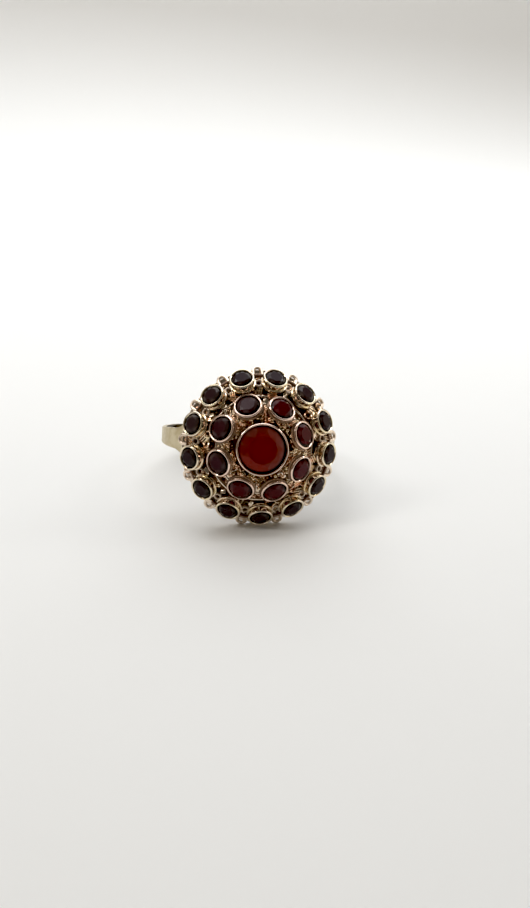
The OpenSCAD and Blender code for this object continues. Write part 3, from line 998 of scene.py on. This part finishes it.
# %% White sweep
FLOOR_NEAR = -0.5
FLOOR_FAR = 0.45
FLOOR_HALF = 0.8
WALL_TOP = 0.7
FOLD = 0.25
FOLD_STEPS = 16


def paper():
    """Matt white paper with a hardly visible tooth."""
    material, tree, out = new_material("matt_white_paper")
    place = add_node(tree, "ShaderNodeTexCoord").outputs["Object"]
    tooth = add_node(tree, "ShaderNodeTexNoise", {"Vector": place}, {"Scale": 900.0})
    relief = add_node(tree, "ShaderNodeBump", {"Height": tooth.outputs["Fac"]},
                      {"Strength": 0.1, "Distance": 0.05 * MM})
    surface = add_node(tree, "ShaderNodeBsdfPrincipled", {"Normal": relief.outputs["Normal"]},
                       {"Base Color": linear("#f1f1ef"), "Roughness": 0.7})
    tree.links.new(surface.outputs["BSDF"], out.inputs["Surface"])
    return material


bm = bmesh.new()
near = [bm.verts.new((x, FLOOR_NEAR, 0)) for x in (-FLOOR_HALF, FLOOR_HALF)]
edge = bm.edges.new(near)
for step in ((0, FLOOR_FAR - FLOOR_NEAR, 0), (0, 0, WALL_TOP)):
    grown = bmesh.ops.extrude_edge_only(bm, edges=[edge])["geom"]
    bmesh.ops.translate(bm, vec=step, verts=[g for g in grown if isinstance(g, bmesh.types.BMVert)])
    edge = next(g for g in grown if isinstance(g, bmesh.types.BMEdge))
fold = [e for e in bm.edges if len(e.link_faces) == 2]
bmesh.ops.bevel(bm, geom=fold, offset=FOLD, segments=FOLD_STEPS, profile=0.5, affect="EDGES",
                material=-1)
for face in bm.faces:
    face.smooth = True
mesh = bpy.data.meshes.new("sweep")
bm.to_mesh(mesh)
bm.free()
mesh.materials.append(paper())
sweep = bpy.data.objects.new("sweep", mesh)
bpy.context.scene.collection.objects.link(sweep)
print("sweep faces:", len(mesh.polygons))

# %% [markdown]
# ## Light
# Jewellery is lit with large soft lamps, because polished gold shows its surroundings. One lamp
# hangs above and behind like a window, two small ones at the sides add sparkles, and one lights
# the paper at the back. The surroundings have bright and dim patches, as a room has, which give
# the gold its contrast, and the space near the camera stays dark.

# %% Lamps


def lamp(name, place, size, watts, colour="#ffffff", aim=HEAD.translation):
    """A soft lamp that points at the ring's head unless it has another aim."""
    data = bpy.data.lights.new(name, "AREA")
    data.shape = "RECTANGLE"
    data.size, data.size_y = size
    data.energy = watts
    data.color = linear(colour)[:3]
    light = bpy.data.objects.new(name, data)
    bpy.context.scene.collection.objects.link(light)
    light.location = place
    light.rotation_euler = (Vector(aim) - Vector(place)).to_track_quat("-Z", "Y").to_euler()
    print(name, "watts:", watts)


lamp("window_lamp", (0.03, 0.16, 0.2), (0.36, 0.26), 0.44, "#f4f9ff")
lamp("left_pane", (-0.17, -0.02, 0.18), (0.054, 0.054), 0.067)
lamp("right_pane", (0.2, 0.03, 0.15), (0.048, 0.048), 0.052)
lamp("wall_lamp", (0, 0.1, 0.5), (0.5, 0.2), 1.1, aim=(0, 0.5, 0.2))


# %% Surroundings
ROOM_DIM = 0.08
ROOM_BRIGHT = 1.0
ROOM_TINT = "#fff3e2"
ROOM_SCALE = 1.7
ROOM_SPAN = (0.45, 0.55)
FRONT = Vector((0.05, -1.0, 0.35)).normalized()
FRONT_SPAN = (0.3, 0.8)

world = bpy.data.worlds.new("studio")
world.use_nodes = True
bpy.context.scene.world = world
tree = world.node_tree
sky = add_node(tree, "ShaderNodeTexCoord").outputs["Generated"]
noise = add_node(tree, "ShaderNodeTexNoise", {"Vector": sky}, {"Scale": ROOM_SCALE, "Detail": 1.0})
room = add_node(tree, "ShaderNodeMapRange", {"Value": noise.outputs["Fac"]},
                {"From Min": ROOM_SPAN[0], "From Max": ROOM_SPAN[1],
                 "To Min": ROOM_DIM, "To Max": ROOM_BRIGHT}, interpolation_type="SMOOTHSTEP")
ahead = add_node(tree, "ShaderNodeVectorMath", {0: sky}, {1: FRONT}, operation="DOT_PRODUCT")
dark = add_node(tree, "ShaderNodeMapRange",
                {"Value": ahead.outputs["Value"], "To Min": room.outputs["Result"]},
                {"From Min": FRONT_SPAN[0], "From Max": FRONT_SPAN[1], "To Max": ROOM_DIM},
                interpolation_type="SMOOTHSTEP")
background = tree.nodes["Background"]
background.inputs["Color"].default_value = linear(ROOM_TINT)
tree.links.new(dark.outputs["Result"], background.inputs["Strength"])

# %% [markdown]
# ## Tones of the picture
# In the photograph the paper is burnt out to white behind the ring, and the deepest gaps are
# black. A white level under one and a small black level do the same.

# %% Levels
BLACK_LEVEL = 0.008
WHITE_LEVEL = 0.86

view = bpy.context.scene.view_settings
view.view_transform = "Standard"
view.use_curve_mapping = True
view.curve_mapping.black_level = [BLACK_LEVEL] * 3
view.curve_mapping.white_level = [WHITE_LEVEL] * 3
view.curve_mapping.update()
print("levels:", BLACK_LEVEL, "to", WHITE_LEVEL)

# %% [markdown]
# ## Camera
# The camera looks down at the head from the photograph's angle, a little from the left and
# rolled by two degrees, from 100 mm away. The lens follows from the head's size in the frame, and
# a small shift puts the head's centre where it was.

# %% Camera
IMAGE_W, IMAGE_H = 530, 908
SIGHT_AZIMUTH = math.radians(-7.8)
SIGHT_LIFT = math.radians(26.3)
SIGHT_ROLL = math.radians(2.15)
SIGHT_DISTANCE = 100 * MM
FOCAL_PIXELS = 930
HEAD_PIXEL = (259.6, 447.6)
SENSOR = 36.0
CLIP = (1 * MM, 5.0)

data = bpy.data.cameras.new("camera")
camera = bpy.data.objects.new("camera", data)
bpy.context.scene.collection.objects.link(camera)
bpy.context.scene.camera = camera
away = Vector((math.sin(SIGHT_AZIMUTH) * math.cos(SIGHT_LIFT),
               -math.cos(SIGHT_AZIMUTH) * math.cos(SIGHT_LIFT), math.sin(SIGHT_LIFT)))
turn = (-away).to_track_quat("-Z", "Y").to_matrix().to_4x4()
camera.matrix_world = (Matrix.Translation(HEAD.translation + away * SIGHT_DISTANCE) @ turn
                       @ Matrix.Rotation(SIGHT_ROLL, 4, "Z"))
data.sensor_width = SENSOR
data.lens = FOCAL_PIXELS / IMAGE_H * SENSOR
data.shift_x = (IMAGE_W / 2 - HEAD_PIXEL[0]) / IMAGE_H
data.shift_y = (HEAD_PIXEL[1] - IMAGE_H / 2) / IMAGE_H
data.clip_start, data.clip_end = CLIP
print("lens:", round(data.lens, 2), "mm")
